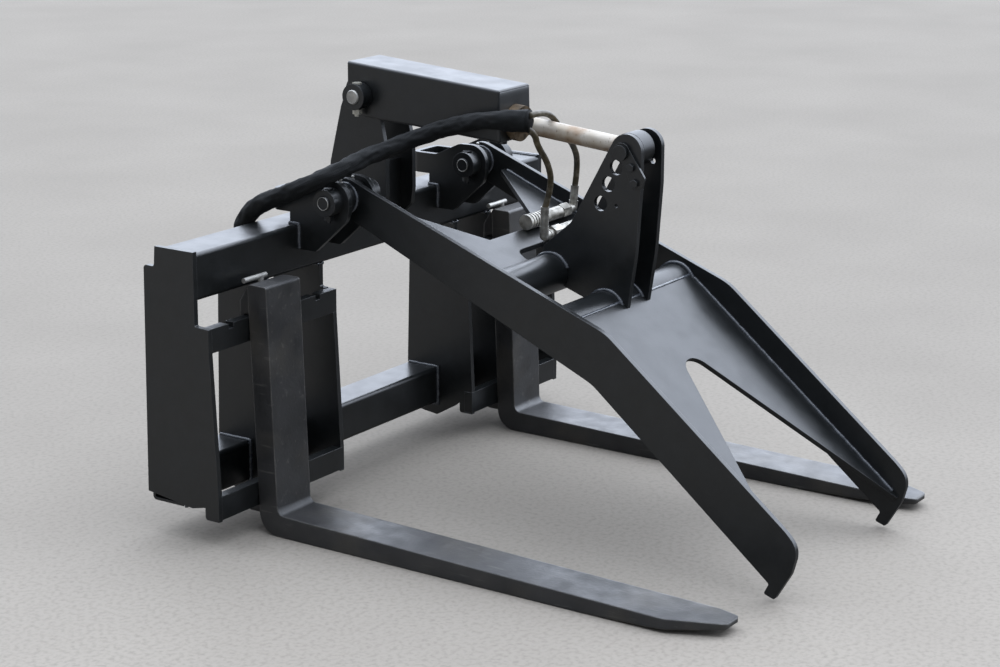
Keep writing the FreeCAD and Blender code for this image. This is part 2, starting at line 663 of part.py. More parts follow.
def rod_eye():
    eye = rod_x(ROD_EYE_R, ROD_PIN_Y, ROD_PIN_Z, -ROD_EYE_WIDTH / 2, ROD_EYE_WIDTH / 2)
    return eye.cut(rod_x(PIN_R + ROD_EYE_SLACK, ROD_PIN_Y, ROD_PIN_Z, -ROD_EYE_WIDTH, ROD_EYE_WIDTH))


def ports():
    """Two threaded port bosses on the underside of the barrel."""
    side = V(0, -STROKE_AXIS.z, STROKE_AXIS.y)
    bosses = []
    for distance in (EYE_R + 32, BARREL_LENGTH - 26):
        boss = Part.makeCylinder(12, 18, along(distance) + side * (BARREL_R - 2), side)
        boss = boss.cut(rod_along(BARREL_R + 0.05, 0, BARREL_LENGTH + 20))
        boss = boss.cut(Part.makeCylinder(7, 30, along(distance) + side * (BARREL_R + 4), side))
        bosses.append(boss)
    return Part.makeCompound(bosses)


def guard():
    """Folded sheet cover over the cylinder: a roof, two sides over the tower legs and a front with the rod hole."""
    front = BASE_Y - BARREL_LENGTH - GUARD_SHEET
    side = [(55, GUARD_TOP, 4), (front + 4, GUARD_TOP - 28, 6), (front, 796, 4), (-125, 810, 20), (-46, 813),
            (23, 819, 60), (62, BASE_Z), (55, BASE_Z + 20, 10)]
    outer = plate_x(side, -GUARD_OUTER, GUARD_OUTER)
    outer = outer.makeFillet(6, [e for e in outer.Edges if abs(abs(e.CenterOfMass.x) - GUARD_OUTER) < 0.1
                                 and e.CenterOfMass.z > 915])
    roof_in = GUARD_TOP - GUARD_SHEET
    hollow = plate_x([(150, roof_in + 4), (55, roof_in), (front + GUARD_SHEET, roof_in - 28),
                      (front + GUARD_SHEET, 700), (150, 700)], -GUARD_INNER, GUARD_INNER)
    shell = outer.cut(hollow)
    shell = shell.cut(rod_along(GLAND_R + 0.3, 200, PIN_CENTRES))
    return shell.cut(rod_x(PIN_R + PIN_FIT, BASE_Y, BASE_Z, -GUARD_OUTER - 1, GUARD_OUTER + 1))


# Hoses and couplers

def hose(points, radius, least_bend):
    """A hose as straight runs joined by tangent arcs, swept with a round section."""
    corners = [V(*p) for p in points]
    edges = []
    start = corners[0]
    for i in range(1, len(corners) - 1):
        before = (corners[i - 1] - corners[i]).normalize()
        after = (corners[i + 1] - corners[i]).normalize()
        turn = math.pi - before.getAngle(after)
        reach = 0.45 * min((corners[i - 1] - corners[i]).Length, (corners[i + 1] - corners[i]).Length)
        arc_radius = reach / math.tan(turn / 2)
        first = corners[i] + before * reach
        last = corners[i] + after * reach
        toward = (before + after).normalize()
        middle = corners[i] + toward * (arc_radius / math.cos(turn / 2) - arc_radius)
        print("bend radius", round(arc_radius, 1), "at least", least_bend)
        edges.append(Part.LineSegment(start, first).toShape())
        edges.append(Part.Arc(first, middle, last).toShape())
        start = last
    edges.append(Part.LineSegment(start, corners[-1]).toShape())
    spine = Part.Wire(edges)
    direction = (corners[1] - corners[0]).normalize()
    section = Part.Wire(Part.makeCircle(radius, corners[0], direction))
    return spine.makePipeShell([section], True, True)


SLEEVE_ROUTE = [(-404, 159, 480), (-402, 151, 556), (-388, 119, 629), (-360, 67, 666), (-336, 4, 706),
                (-308, -54, 744.5), (-252, -92, 763), (-184, -118, 778), (-130, -166, 800), (-104, -236, 828),
                (-94, -306, 848), (-90, -376, 860), (-86, -441, 862)]
HOSE_A_ROUTE = [(-84, -449.5, 869), (-44, -444, 872), (6, -435, 860), (56, -430, 836), (116, -416, 800),
                (182, -394, 764), (226, -366, 712), (228, -360, 656)]
HOSE_B_ROUTE = [(-89, -450, 853), (-62, -446, 838), (-22, -430, 800), (14, -418, 750), (26, -411, 698),
                (26, -410, 648)]


def coupler(ribbed, tail, y):
    """Quick coupler along X, lying on the rear web: a ribbed socket at one end and a hexagon at the other."""
    z = web_height(y) + COUPLER_SEAT
    way = 1 if tail > ribbed else -1
    axis = V(way, 0, 0)

    def drum(radius, start, end):
        return Part.makeCylinder(radius, end - start, V(ribbed + way * start, y, z), axis)

    length = abs(tail - ribbed)
    whole = joined([drum(COUPLER_R, 0, RIB_LENGTH), drum(COUPLER_R - 3, RIB_LENGTH, length - TAIL_LENGTH),
                    hexagon(COUPLER_AF, V(ribbed + way * (length - TAIL_LENGTH - 22), y, z), axis, 30),
                    drum(COUPLER_R - 6, length - TAIL_LENGTH, length)])
    grooves = [drum(COUPLER_R + 2, g, g + 4).cut(drum(COUPLER_R - 2, g, g + 4)) for g in (8, 18, 28, 38, 48)]
    return whole.cut(grooves)


def hose_elbows():
    """Right-angle hose ends with crimped ferrules, one on each coupler's tail."""
    elbows = []
    for x, y, way, top in ((ELBOW_A_X, COUPLER_A_Y, -1, HOSE_A_ROUTE[-1]), (ELBOW_B_X, COUPLER_B_Y, 1, HOSE_B_ROUTE[-1])):
        z = web_height(y) + COUPLER_SEAT
        corner = V(x, y, z)
        rise = V(*top) - corner
        stub = Part.makeCylinder(ELBOW_R, ELBOW_REACH, corner, V(way, 0, 0))
        knee = Part.makeSphere(ELBOW_R, corner)
        riser = Part.makeCylinder(ELBOW_R, rise.Length * 0.35, corner, rise)
        ferrule = Part.makeCylinder(FERRULE_R, rise.Length * 0.65 + 4, corner + rise * 0.35, rise)
        socket_foot = corner + rise * (1 - FERRULE_GAP / rise.Length)
        ferrule = ferrule.cut(Part.makeCylinder(HOSE_R + FERRULE_GAP, 6, socket_foot, rise))
        elbows.append(joined([stub, knee, riser, ferrule]))
    return Part.makeCompound(elbows)


NODES = {}


def add(name, shape):
    NODES[name] = shape


def build():
    add("top_tube", top_tube())
    add("lower_tube", lower_tube())
    end = end_plate()
    add("right_end_plate", end)
    add("left_end_plate", mirror_x(end))
    add("left_middle_plate", rib(-MIDDLE_X - PLATE, True))
    add("right_middle_plate", rib(MIDDLE_X, True))
    add("left_inner_plate", rib(-LEFT_INNER_X - PLATE, False))
    add("right_inner_plate", rib(RIGHT_INNER_X, False))
    reach = HALF - PLATE
    add("left_upper_rail", upper_rail(-reach, -LEFT_INNER_X, LEFT_NOTCHES))
    add("right_upper_rail", upper_rail(RIGHT_INNER_X, reach, RIGHT_NOTCHES))
    add("left_lower_rail", lower_rail(-reach, -LEFT_INNER_X))
    add("right_lower_rail", lower_rail(RIGHT_INNER_X, reach))

    for side, x, sign in (("left", LEFT_FORK_X, -1), ("right", RIGHT_FORK_X, 1)):
        add(side + "_fork", fork(x, sign))
        add(side + "_upper_hook", upper_hook(x))
        add(side + "_lower_hook", lower_hook(x))
        add(side + "_lock_pin", lock_pin(x))

    right_bracket = bracket()
    add("right_hinge_bracket", right_bracket)
    add("left_hinge_bracket", mirror_x(right_bracket))
    right_pin = hinge_pin()
    add("right_hinge_pin", right_pin)
    add("left_hinge_pin", mirror_x(right_pin))
    leg = tower_leg()
    add("right_tower_leg", leg)
    add("left_tower_leg", mirror_x(leg))
    add("tower_cross_plate", tower_cross_plate())
    add("base_pin", base_pin())
    add("base_pin_collars", Part.makeCompound([collar(x, BASE_Y, BASE_Z) for x in base_bolt_places()]))
    hinge_collars = [collar(x, HINGE_Y, HINGE_Z) for x in hinge_bolt_places()]
    add("hinge_pin_collars", Part.makeCompound(hinge_collars + [mirror_x(c) for c in hinge_collars]))
    add("pin_bolts", Part.makeCompound([cross_bolt(*place) for place in bolt_places()]))
    add("pin_nuts", Part.makeCompound([cross_nut(*place) for place in bolt_places()]))

    right_arm = arm()
    add("right_arm", right_arm)
    add("left_arm", mirror_x(right_arm))
    add("arm_bosses", arm_bosses())
    add("grease_nipples", grease_nipples())
    add("rear_web", rear_web())
    add("front_web", front_web())
    add("rear_cross_tube", cross_tube(REAR_TUBE_Y, REAR_TUBE_Z))
    add("front_cross_tube", cross_tube(FRONT_TUBE_Y, FRONT_TUBE_Z))
    add("right_clevis_lug", clevis_lug(True))
    add("left_clevis_lug", mirror_x(clevis_lug(False)))
    add("rod_pin", rod_pin())
    add("rod_pin_flag", rod_pin_flag())
    add("flag_bolts", flag_bolts())
    add("rod_pin_spacers", rod_pin_spacers())

    add("cylinder_barrel", barrel())
    add("cylinder_base_eye", base_eye())
    add("cylinder_gland", gland())
    add("cylinder_ports", ports())
    add("cylinder_guard", guard())
    add("cylinder_rod", cylinder_rod())
    add("cylinder_piston", piston())
    add("rod_eye", rod_eye())

    add("hose_sleeve", hose(SLEEVE_ROUTE, SLEEVE_R, 3 * 2 * SLEEVE_R))
    add("hose_a", hose(HOSE_A_ROUTE, HOSE_R, 5 * 2 * HOSE_R))
    add("hose_b", hose(HOSE_B_ROUTE, HOSE_R, 5 * 2 * HOSE_R))
    add("coupler_a", coupler(COUPLER_A_X, ELBOW_A_X - ELBOW_REACH, COUPLER_A_Y))
    add("coupler_b", coupler(ELBOW_B_X + ELBOW_REACH + COUPLER_LENGTH, ELBOW_B_X + ELBOW_REACH, COUPLER_B_Y))
    add("hose_elbows", hose_elbows())


build()
os.makedirs("parts", exist_ok=True)
low = V(1e9, 1e9, 1e9)
high = V(-1e9, -1e9, -1e9)
for name, shape in NODES.items():
    shape = shape.copy()
    shape.translate(V(0, FRAME_SHIFT, 0))
    shape.exportStep("parts/" + name + ".step")
    box = shape.BoundBox
    low = V(min(low.x, box.XMin), min(low.y, box.YMin), min(low.z, box.ZMin))
    high = V(max(high.x, box.XMax), max(high.y, box.YMax), max(high.z, box.ZMax))
    if not shape.isValid() or shape.Volume <= 0:
        print("bad solid", name, shape.isValid(), shape.Volume)
print(len(NODES), "nodes, box", low, high)
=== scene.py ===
import json
import math

import bmesh
import bpy
from mathutils import Matrix, Vector, noise


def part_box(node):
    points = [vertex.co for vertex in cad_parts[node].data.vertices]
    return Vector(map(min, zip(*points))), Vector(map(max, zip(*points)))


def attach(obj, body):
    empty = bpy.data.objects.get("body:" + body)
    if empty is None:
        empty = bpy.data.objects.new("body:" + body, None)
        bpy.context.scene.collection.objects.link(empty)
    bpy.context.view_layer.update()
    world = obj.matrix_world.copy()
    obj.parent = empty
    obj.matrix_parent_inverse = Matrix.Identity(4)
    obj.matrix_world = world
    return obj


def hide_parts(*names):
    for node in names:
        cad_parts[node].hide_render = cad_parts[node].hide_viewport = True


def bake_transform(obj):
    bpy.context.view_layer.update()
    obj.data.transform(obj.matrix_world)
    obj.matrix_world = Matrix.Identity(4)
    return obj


# Frame

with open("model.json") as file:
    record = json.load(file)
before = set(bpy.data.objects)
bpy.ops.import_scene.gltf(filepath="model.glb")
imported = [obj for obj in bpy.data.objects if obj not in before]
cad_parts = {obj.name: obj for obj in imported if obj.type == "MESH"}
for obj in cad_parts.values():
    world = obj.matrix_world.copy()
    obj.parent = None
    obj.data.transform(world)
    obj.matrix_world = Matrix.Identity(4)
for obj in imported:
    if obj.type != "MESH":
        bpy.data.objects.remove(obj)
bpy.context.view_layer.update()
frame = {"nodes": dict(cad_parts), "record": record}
record = frame["record"]
nodes = frame["nodes"]
MM = 0.001
FRAME_SHIFT = 520.0

# Hose routes fitted to the photograph, in millimetres; Y starts at the front face of the top tube

SLEEVE_ROUTE = [(-333, 156, 480), (-332, 152, 556), (-330, 127, 626), (-347, 78, 663), (-351, 4, 693),
                (-357, -69, 724), (-304, -111, 752), (-214, -119, 769), (-148, -145, 783), (-112, -196, 809),
                (-102, -270, 835), (-95, -360, 855), (-84, -438, 857)]
HOSE_A_ROUTE = [(-80, -436, 868), (-44, -441, 870), (2, -436, 859), (32, -431, 840), (76, -424, 806),
                (152, -402, 768), (222, -372, 714), (228, -360, 656)]
HOSE_B_ROUTE = [(-80, -431, 840), (-66, -442, 828), (-44, -433, 800), (8, -429, 752), (38, -420, 698),
                (26, -410, 648)]
SLEEVE_R = 19.0
SLEEVE_LENGTH = 0.905
HOSE_R = 6.8


def place(point):
    """A point of the drawing frame, in millimetres, in the row frame in metres."""
    return Vector((point[0] * MM, (point[1] + FRAME_SHIFT) * MM, point[2] * MM))


# Camera fitted to the photograph

CAMERA_AT = (-4152.7, -3066.3, 1711.1)
CAMERA_AZIMUTH = math.radians(-56.46)
CAMERA_ELEVATION = math.radians(15.17)
CAMERA_ROLL = math.radians(0.39)
FOCAL_PIXELS = 2348.4
IMAGE_WIDTH = 1000.0
SENSOR = 36.0
FAR_CLIP = 60.0


def camera():
    back = Vector((math.sin(CAMERA_AZIMUTH) * math.cos(CAMERA_ELEVATION),
                   -math.cos(CAMERA_AZIMUTH) * math.cos(CAMERA_ELEVATION), math.sin(CAMERA_ELEVATION)))
    right = (-back).cross(Vector((0, 0, 1))).normalized()
    up = right.cross(-back)
    turned_right = right * math.cos(CAMERA_ROLL) + up * math.sin(CAMERA_ROLL)
    turned_up = up * math.cos(CAMERA_ROLL) - right * math.sin(CAMERA_ROLL)
    data = bpy.data.cameras.new("camera")
    data.sensor_width = SENSOR
    data.lens = FOCAL_PIXELS / IMAGE_WIDTH * SENSOR
    data.clip_end = FAR_CLIP
    obj = bpy.data.objects.new("camera", data)
    bpy.context.scene.collection.objects.link(obj)
    turn = Matrix((turned_right, turned_up, back)).transposed()
    obj.matrix_world = Matrix.Translation(place(CAMERA_AT)) @ turn.to_4x4()
    bpy.context.scene.camera = obj


# Materials

BEVEL_SAMPLES = 6
EDGE_MASK_FROM = 0.98
EDGE_MASK_FULLY = 0.75
BRIGHT_ABOVE = 0.78


def new_material(name):
    """A new material with its node tree and its shader."""
    material = bpy.data.materials.new(name)
    material.use_nodes = True
    tree = material.node_tree
    return material, tree, tree.nodes["Principled BSDF"]


def map_range(tree, value, start, end, low=0.0, high=1.0, smooth=False):
    """A value between start and end, remapped to low..high and clamped there."""
    ramp = tree.nodes.new("ShaderNodeMapRange")
    if smooth:
        ramp.interpolation_type = "SMOOTHSTEP"
    ramp.inputs["From Min"].default_value = start
    ramp.inputs["From Max"].default_value = end
    ramp.inputs["To Min"].default_value = low
    ramp.inputs["To Max"].default_value = high
    tree.links.new(value, ramp.inputs["Value"])
    return ramp.outputs["Result"]


def dot_product(tree, vector, other):
    """The dot product of a socket with another socket or a fixed direction."""
    dot = tree.nodes.new("ShaderNodeVectorMath")
    dot.operation = "DOT_PRODUCT"
    tree.links.new(vector, dot.inputs[0])
    if isinstance(other, (tuple, Vector)):
        dot.inputs[1].default_value = other
    else:
        tree.links.new(other, dot.inputs[1])
    return dot.outputs["Value"]


def noise_map(tree, scale, low, high, start=0.35, end=0.65, detail=4.0, vector=None):
    """A noise texture in object space, whose values from start to end give low to high."""
    texture = tree.nodes.new("ShaderNodeTexNoise")
    texture.inputs["Scale"].default_value = scale
    texture.inputs["Detail"].default_value = detail
    tree.links.new(vector if vector else object_space(tree), texture.inputs["Vector"])
    return map_range(tree, texture.outputs["Fac"], start, end, low, high)


def object_space(tree):
    """The material's one object-space coordinate."""
    for node in tree.nodes:
        if node.type == "TEX_COORD":
            return node.outputs["Object"]
    return tree.nodes.new("ShaderNodeTexCoord").outputs["Object"]


def mix_colour(tree, factor, a, b):
    """Colour a at a factor of 0 and colour b at 1; each is a socket or a fixed colour."""
    mix = tree.nodes.new("ShaderNodeMix")
    mix.data_type = "RGBA"
    tree.links.new(factor, mix.inputs["Factor"])
    for socket, value in ((mix.inputs["A"], a), (mix.inputs["B"], b)):
        if isinstance(value, tuple):
            socket.default_value = value + (1,)
        else:
            tree.links.new(value, socket)
    return mix.outputs["Result"]


def height_of(tree, vector):
    """The Z part of a vector."""
    split = tree.nodes.new("ShaderNodeSeparateXYZ")
    tree.links.new(vector, split.inputs["Vector"])
    return split.outputs["Z"]


def math_node(tree, operation, a, b):
    """A math node over sockets and numbers, clamped to 0..1."""
    node = tree.nodes.new("ShaderNodeMath")
    node.operation = operation
    node.use_clamp = True
    for socket, value in ((node.inputs[0], a), (node.inputs[1], b)):
        if isinstance(value, (int, float)):
            socket.default_value = value
        else:
            tree.links.new(value, socket)
    return node.outputs[0]


def soft_edges(tree, radius):
    """The surface normal with every edge rounded."""
    bevel = tree.nodes.new("ShaderNodeBevel")
    bevel.samples = BEVEL_SAMPLES
    bevel.inputs["Radius"].default_value = radius
    return bevel.outputs["Normal"]


def edge_mask(tree, rounded):
    """One on edges, from the difference between the rounded and the flat normal; it marks worn paint, and on
    the black paint also a painted edge highlight.
    """
    flat = tree.nodes.new("ShaderNodeNewGeometry").outputs["Normal"]
    return map_range(tree, dot_product(tree, rounded, flat), EDGE_MASK_FROM, EDGE_MASK_FULLY)


def bump(tree, shader, height, strength, distance, rounded=None):
    """Fine relief, over rounded edges where their normal is given."""
    node = tree.nodes.new("ShaderNodeBump")
    if rounded:
        tree.links.new(rounded, node.inputs["Normal"])
    node.inputs["Strength"].default_value = strength
    node.inputs["Distance"].default_value = distance
    tree.links.new(height, node.inputs["Height"])
    tree.links.new(node.outputs["Normal"], shader.inputs["Normal"])


def black_paint():
    """Semi-gloss black paint over steel: faint orange peel, a little dust, and worn edges lightened further
    as a painted edge highlight.
    """
    material, tree, shader = new_material("black_paint")
    black, soft_black = (0.0025, 0.0034, 0.0036), (0.0045, 0.0056, 0.0060)
    dust, rubbed_edge_and_highlight = (0.10, 0.095, 0.085), (0.18, 0.186, 0.192)
    edge_radius, most_edge_share = 0.0016, 0.5
    rounded = soft_edges(tree, edge_radius)
    body = mix_colour(tree, noise_map(tree, 40, 0, 1), black, soft_black)
    dusty = mix_colour(tree, noise_map(tree, 140, 0, 0.03, 0.5, 0.8), body, dust)
    # Painted highlight: the light bluish grey on the edges is partly worn paint and partly a painted edge
    # highlight.
    edge_share = math_node(tree, "MULTIPLY", edge_mask(tree, rounded), noise_map(tree, 35, 0.1, 0.9))
    edge_share = math_node(tree, "MULTIPLY", edge_share, most_edge_share)
    tree.links.new(mix_colour(tree, edge_share, dusty, rubbed_edge_and_highlight), shader.inputs["Base Color"])
    tree.links.new(noise_map(tree, 18, 0.30, 0.38), shader.inputs["Roughness"])
    shader.inputs["Specular IOR Level"].default_value = 0.75
    bump(tree, shader, noise_map(tree, 260, 0, 1, 0.3, 0.7, 2), 0.12, 0.0004, rounded)
    return material


def fork_paint():
    """Dark grey fork steel: scuffed paint, bare worn edges and brown soil on the heel."""
    material, tree, shader = new_material("fork_paint")
    dark, grey = (0.012, 0.012, 0.0125), (0.024, 0.0235, 0.023)
    scuff, soil, bare = (0.12, 0.115, 0.10), (0.060, 0.052, 0.038), (0.22, 0.21, 0.19)
    edge_radius, most_scuff, most_soil, most_edge_share = 0.005, 0.5, 0.55, 0.6
    rounded = soft_edges(tree, edge_radius)
    body = mix_colour(tree, noise_map(tree, 11, 0, 1), dark, grey)
    stretched = tree.nodes.new("ShaderNodeMapping")
    stretched.inputs["Scale"].default_value = (1.0, 0.12, 1.0)
    tree.links.new(object_space(tree), stretched.inputs["Vector"])
    scuffs = noise_map(tree, 90, 0, 1, 0.62, 0.75, 6, stretched.outputs["Vector"])
    scuffed = mix_colour(tree, math_node(tree, "MULTIPLY", scuffs, most_scuff), body, scuff)
    patches = math_node(tree, "MULTIPLY", noise_map(tree, 6, 0, 1, 0.5, 0.72), most_soil)
    soiled = mix_colour(tree, patches, scuffed, soil)
    edge_share = math_node(tree, "MULTIPLY", edge_mask(tree, rounded), noise_map(tree, 30, 0.2, 1.0))
    edge_share = math_node(tree, "MULTIPLY", edge_share, most_edge_share)
    tree.links.new(mix_colour(tree, edge_share, soiled, bare), shader.inputs["Base Color"])
    tree.links.new(noise_map(tree, 20, 0.36, 0.50), shader.inputs["Roughness"])
    shader.inputs["Specular IOR Level"].default_value = 0.8
    bump(tree, shader, noise_map(tree, 140, 0, 1, 0.3, 0.7, 5), 0.25, 0.0006, rounded)
    return material


def plated_steel(name, colour, dull, rough):
    """Zinc-plated steel with uneven dull patches."""
    material, tree, shader = new_material(name)
    uneven = 0.18
    tree.links.new(mix_colour(tree, noise_map(tree, 45, 0, 1), colour, dull), shader.inputs["Base Color"])
    shader.inputs["Metallic"].default_value = 0.75
    tree.links.new(noise_map(tree, 70, rough, rough + uneven), shader.inputs["Roughness"])
    bump(tree, shader, noise_map(tree, 300, 0, 1), 0.15, 0.0003)
    return material


def tower_hardware():
    """Bolts and nuts: bright plating on the cylinder's base pin, black paint on the hinge pins below it."""
    material, tree, shader = new_material("tower_hardware")
    black, zinc, dull_zinc = (0.004, 0.005, 0.0055), (0.60, 0.58, 0.50), (0.42, 0.40, 0.35)
    plated_metallic = 0.7
    bright = math_node(tree, "GREATER_THAN", height_of(tree, object_space(tree)), BRIGHT_ABOVE)
    plating = mix_colour(tree, noise_map(tree, 60, 0, 1), zinc, dull_zinc)
    tree.links.new(mix_colour(tree, bright, black, plating), shader.inputs["Base Color"])
    tree.links.new(math_node(tree, "MULTIPLY", bright, plated_metallic), shader.inputs["Metallic"])
    tree.links.new(noise_map(tree, 70, 0.30, 0.42), shader.inputs["Roughness"])
    return material


def rod_chrome():
    """Hard-chromed rod under a cream wax, with brown patches, and browner towards its underside."""
    material, tree, shader = new_material("rod_chrome")
    cream, pale_cream = (0.34, 0.29, 0.22), (0.44, 0.40, 0.34)
    brown, speck = (0.24, 0.15, 0.08), (0.12, 0.08, 0.05)
    underside_share, most_brown, most_speck = 0.9, 0.8, 0.6
    pale = mix_colour(tree, noise_map(tree, 22, 0, 1), cream, pale_cream)
    # Browner towards the underside, by the height of the surface normal.
    surface = tree.nodes.new("ShaderNodeNewGeometry").outputs["Normal"]
    underside = math_node(tree, "MULTIPLY", height_of(tree, surface), -underside_share)
    brown_share = math_node(tree, "ADD", underside, noise_map(tree, 16, 0, 1, 0.46, 0.64, 8))
    browned = mix_colour(tree, math_node(tree, "MULTIPLY", brown_share, most_brown), pale, brown)
    specks = math_node(tree, "MULTIPLY", noise_map(tree, 120, 0, 1, 0.62, 0.7, 3), most_speck)
    tree.links.new(mix_colour(tree, specks, browned, speck), shader.inputs["Base Color"])
    shader.inputs["Metallic"].default_value = 0.25
    tree.links.new(noise_map(tree, 30, 0.30, 0.5), shader.inputs["Roughness"])
    bump(tree, shader, noise_map(tree, 90, 0, 1), 0.1, 0.0003)
    return material


def hose_rubber():
    """Brown-olive hose cover, soiled and slightly glossy."""
    material, tree, shader = new_material("hose_rubber")
    dark, olive, dust = (0.026, 0.020, 0.009), (0.075, 0.058, 0.028), (0.20, 0.18, 0.14)
    body = mix_colour(tree, noise_map(tree, 30, 0, 1), dark, olive)
    dusty = mix_colour(tree, noise_map(tree, 90, 0, 0.45, 0.5, 0.7), body, dust)
    tree.links.new(dusty, shader.inputs["Base Color"])
    tree.links.new(noise_map(tree, 50, 0.32, 0.5), shader.inputs["Roughness"])
    bump(tree, shader, noise_map(tree, 400, 0, 1), 0.2, 0.0003)
    return material


def sleeve_fabric():
    """Black woven nylon: two crossed sets of threads over the tube's own coordinates."""
    material, tree, shader = new_material("sleeve_fabric")
    gap, thread, dust = (0.001, 0.0013, 0.0015), (0.006, 0.007, 0.0075), (0.03, 0.028, 0.025)
    thread_angle, threads = math.radians(45), 95
    uv = tree.nodes.new("ShaderNodeUVMap")
    uv.uv_map = "weave"
    heights = []
    for turn in (thread_angle, -thread_angle):
        mapping = tree.nodes.new("ShaderNodeMapping")
        mapping.inputs["Rotation"].default_value = (0, 0, turn)
        tree.links.new(uv.outputs["UV"], mapping.inputs["Vector"])
        wave = tree.nodes.new("ShaderNodeTexWave")
        wave.inputs["Scale"].default_value = threads
        wave.inputs["Distortion"].default_value = 0.6
        wave.inputs["Detail"].default_value = 1.0
        tree.links.new(mapping.outputs["Vector"], wave.inputs["Vector"])
        heights.append(wave.outputs["Fac"])
    weave = math_node(tree, "MAXIMUM", heights[0], heights[1])
    body = mix_colour(tree, weave, gap, thread)
    dusty = mix_colour(tree, noise_map(tree, 25, 0, 0.15, 0.5, 0.75), body, dust)
    tree.links.new(dusty, shader.inputs["Base Color"])
    shader.inputs["Roughness"].default_value = 0.7
    shader.inputs["Specular IOR Level"].default_value = 0.22
    bump(tree, shader, weave, 0.6, 0.0008)
    return material


def weld_metal():
    """Painted weld bead, glossier than the plate beside it."""
    material, tree, shader = new_material("painted_weld")
    dark, light_grey = (0.030, 0.034, 0.040), (0.075, 0.082, 0.094)
    tree.links.new(mix_colour(tree, noise_map(tree, 80, 0, 1), dark, light_grey), shader.inputs["Base Color"])
    tree.links.new(noise_map(tree, 90, 0.20, 0.32), shader.inputs["Roughness"])
    shader.inputs["Coat Weight"].default_value = 0.6
    bump(tree, shader, noise_map(tree, 500, 0, 1), 0.2, 0.0003)
    return material


def floor_concrete():
    """Pale concrete with mottling and grain, made lighter in front by painted light; its reflection in the
    paint is a painted darker reflection on the right.
    """
    material, tree, shader = new_material("floor_concrete")
    far_dark, far_pale = (0.238, 0.216, 0.185), (0.264, 0.240, 0.206)
    # Painted light: the near colours are lit copies of the far ones, lighter towards the front.
    lit_near_dark, lit_near_pale = (0.290, 0.262, 0.224), (0.320, 0.290, 0.248)
    grain, mirrored_dark = (0.19, 0.171, 0.145), (0.0, 0.0, 0.0)
    toward_front, toward_right = (-0.8, -0.6, 0), (0.7, -0.7, 0)
    mottling = noise_map(tree, 1.6, 0, 1, 0.3, 0.7, 8)
    far = mix_colour(tree, mottling, far_dark, far_pale)
    near = mix_colour(tree, mottling, lit_near_dark, lit_near_pale)
    painted_light_share = map_range(tree, dot_product(tree, object_space(tree), toward_front), -1.4, 1.6, smooth=True)
    mottled_and_lit = mix_colour(tree, painted_light_share, far, near)
    grained = mix_colour(tree, noise_map(tree, 90, 0, 0.5, 0.45, 0.7, 6), mottled_and_lit, grain)
    # Painted reflection: glossy rays see the floor darker, most of all towards the right.
    dimming = map_range(tree, dot_product(tree, object_space(tree), toward_right), -0.5, 1.2, 0.42, 0.85)
    path = tree.nodes.new("ShaderNodeLightPath")
    mirrored = math_node(tree, "MULTIPLY", path.outputs["Is Glossy Ray"], dimming)
    tree.links.new(mix_colour(tree, mirrored, grained, mirrored_dark), shader.inputs["Base Color"])
    shader.inputs["Roughness"].default_value = 0.8
    shader.inputs["Specular IOR Level"].default_value = 0.08
    bump(tree, shader, noise_map(tree, 160, 0, 1), 0.15, 0.001)
    return material


# Mesh tools

def finish_mesh(name, bm, body, material):
    """A smooth piece from a mesh, riding a body unless that is None."""
    mesh = bpy.data.meshes.new(name)
    bm.to_mesh(mesh)
    bm.free()
    for polygon in mesh.polygons:
        polygon.use_smooth = True
    obj = bpy.data.objects.new(name, mesh)
    bpy.context.scene.collection.objects.link(obj)
    mesh.materials.append(material)
    if body:
        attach(obj, body)
    return obj


def resample(points, step):
    """Points at even steps along a polyline."""
    spread = []
    for a, b in zip(points, points[1:]):
        count = max(1, int(round((b - a).length / step)))
        spread += [a.lerp(b, i / count) for i in range(count)]
    return spread + [points[-1]]


def tube(bm, points, radius, sides, closed=False, uv=None):
    """Sweeps a round section along points; radius is a function of the distance and of the angle."""
    rings = []
    normal = None
    run = 0.0
    count = len(points)
    for i, point in enumerate(points):
        before = points[i - 1] if (i or closed) else point
        after = points[(i + 1) % count] if (i < count - 1 or closed) else point
        tangent = (after - before).normalized()
        if normal is None:
            normal = tangent.orthogonal().normalized()
        normal = (normal - tangent * normal.dot(tangent)).normalized()
        side = tangent.cross(normal)
        ring = []
        for k in range(sides):
            angle = 2 * math.pi * k / sides
            reach = radius(run, angle)
            ring.append(bm.verts.new(point + (normal * math.cos(angle) + side * math.sin(angle)) * reach))
        rings.append((run, ring))
        if i < count - 1:
            run += (points[i + 1] - point).length
    pairs = list(zip(rings, rings[1:])) + ([(rings[-1], rings[0])] if closed else [])
    for (run_a, a), (run_b, b) in pairs:
        for k in range(sides):
            face = bm.faces.new((a[k], a[(k + 1) % sides], b[(k + 1) % sides], b[k]))
            if uv:
                corners = ((k, run_a), (k + 1, run_a), (k + 1, run_b), (k, run_b))
                for loop, (turn, along) in zip(face.loops, corners):
                    loop[uv].uv = (turn / sides * 2 * math.pi * SLEEVE_R * MM, along)
    if not closed:
        bm.faces.new(list(reversed(rings[0][1])))
        bm.faces.new(rings[-1][1])


# Weld beads

WELD_STEP = 0.0022
WELD_PITCH = 0.0055
WELD_WAVER = 0.18
WELD_RIPPLE = 0.10
WELD_UNEVEN = 0.12
WELD_SIDES = 8
WELD_OFF = 1.5
CIRCLE_STEPS = 40


